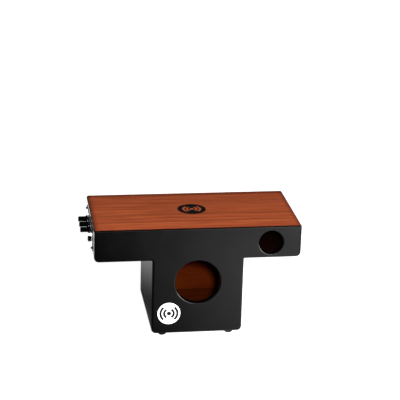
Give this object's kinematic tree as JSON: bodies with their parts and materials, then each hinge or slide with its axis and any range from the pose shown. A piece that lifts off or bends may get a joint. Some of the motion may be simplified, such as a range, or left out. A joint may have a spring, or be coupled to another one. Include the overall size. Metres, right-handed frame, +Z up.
{
  "type": "cajon",
  "caption": "T-shaped slap-top box drum with a sound hole, a bass port, inner snares, and a pickup preamp on one arm.",
  "frame": {"origin": "on the floor, below the middle of the box, between the four feet", "axes": "+X along the playing surface towards its right end seen from the front, +Y to the back (the sound hole faces -Y), +Z up"},
  "size_m": [0.5255, 0.2543, 0.2833],
  "materials": {
    "body_lacquer": "satin black lacquer on fibreboard panels, bare reddish stain inside",
    "playing_veneer": "reddish brown open-grain veneer, satin varnish, grain along the width",
    "bare_wood": "sanded softwood",
    "foot_rubber": "black moulded rubber",
    "screw_steel": "zinc-plated screws",
    "screw_black": "blackened round-headed screws",
    "plate_chrome": "bright polished plate",
    "snare_steel": "stainless steel wires and strips",
    "pot_metal": "pressed potentiometer cases",
    "shaft_steel": "turned steel shafts",
    "nut_nickel": "nickel-plated nuts",
    "knob_plastic": "black moulded knobs with a white pointer line",
    "jack_plastic": "black moulded jack socket and nut",
    "circuit_board": "green circuit board with black components",
    "battery_case": "dark painted battery case with a copper-coloured band",
    "snap_plastic": "black battery snap",
    "bracket_steel": "bent steel sheet",
    "pickup_brass": "brass disc with a resin cap",
    "lead_sheath": "black sheathed thin leads",
    "clip_plastic": "white adhesive clips",
    "emblem_white": "white round badge with a plain black ring motif",
    "emblem_black": "black printed disc with a plain ring motif"
  },
  "bodies": {
    "box": {"arm_end_left": "body_lacquer", "arm_end_right": "body_lacquer", "arm_floor_left": "body_lacquer", "arm_floor_right": "body_lacquer", "back_panel": "body_lacquer", "bass_nut": "nut_nickel", "bass_pot": "pot_metal", "batten_back_left": "bare_wood", "batten_back_right": "bare_wood", "batten_front_left": "bare_wood", "batten_front_right": "bare_wood", "battery": "battery_case", "battery_bracket": "bracket_steel", "battery_lead": "lead_sheath", "battery_snap": "snap_plastic", "bracket_screws": "screw_steel", "control_plate": "plate_chrome", "foot_back_left": "foot_rubber", "foot_back_right": "foot_rubber", "foot_front_left": "foot_rubber", "foot_front_right": "foot_rubber", "foot_screws": "screw_steel", "front_emblem": "emblem_white", "front_panel": "body_lacquer", "jack_lead": "lead_sheath", "jack_nut": "jack_plastic", "lead_clips": "clip_plastic", "output_jack": "jack_plastic", "pickup_lead": "lead_sheath", "piezo_pickup": "pickup_brass", "plate_screws": "screw_black", "playing_surface": "playing_veneer", "preamp_board": "circuit_board", "snare_bar_left": "bare_wood", "snare_bar_right": "bare_wood", "snare_screws": "screw_steel", "snare_strip_left": "snare_steel", "snare_strip_right": "snare_steel", "snare_wires_left": "snare_steel", "snare_wires_right": "snare_steel", "stem_floor": "body_lacquer", "stem_side_left": "body_lacquer", "stem_side_right": "body_lacquer", "top_emblem": "emblem_black", "treble_nut": "nut_nickel", "treble_pot": "pot_metal", "volume_nut": "nut_nickel", "volume_pot": "pot_metal"},
    "volume_control": {"volume_shaft": "shaft_steel", "volume_knob": "knob_plastic"},
    "bass_control": {"bass_shaft": "shaft_steel", "bass_knob": "knob_plastic"},
    "treble_control": {"treble_shaft": "shaft_steel", "treble_knob": "knob_plastic"}
  },
  "joints": [
    {"name": "volume_turn", "type": "hinge", "parent": "box", "child": "volume_control", "pos_m": [-0.2525, 0.0555, 0.246], "axis": [1, 0, 0], "range_deg": [-150, 150]},
    {"name": "bass_turn", "type": "hinge", "parent": "box", "child": "bass_control", "pos_m": [-0.2525, 0.0185, 0.246], "axis": [1, 0, 0], "range_deg": [-150, 150]},
    {"name": "treble_turn", "type": "hinge", "parent": "box", "child": "treble_control", "pos_m": [-0.2525, -0.0185, 0.246], "axis": [1, 0, 0], "range_deg": [-150, 150]}
  ]
}
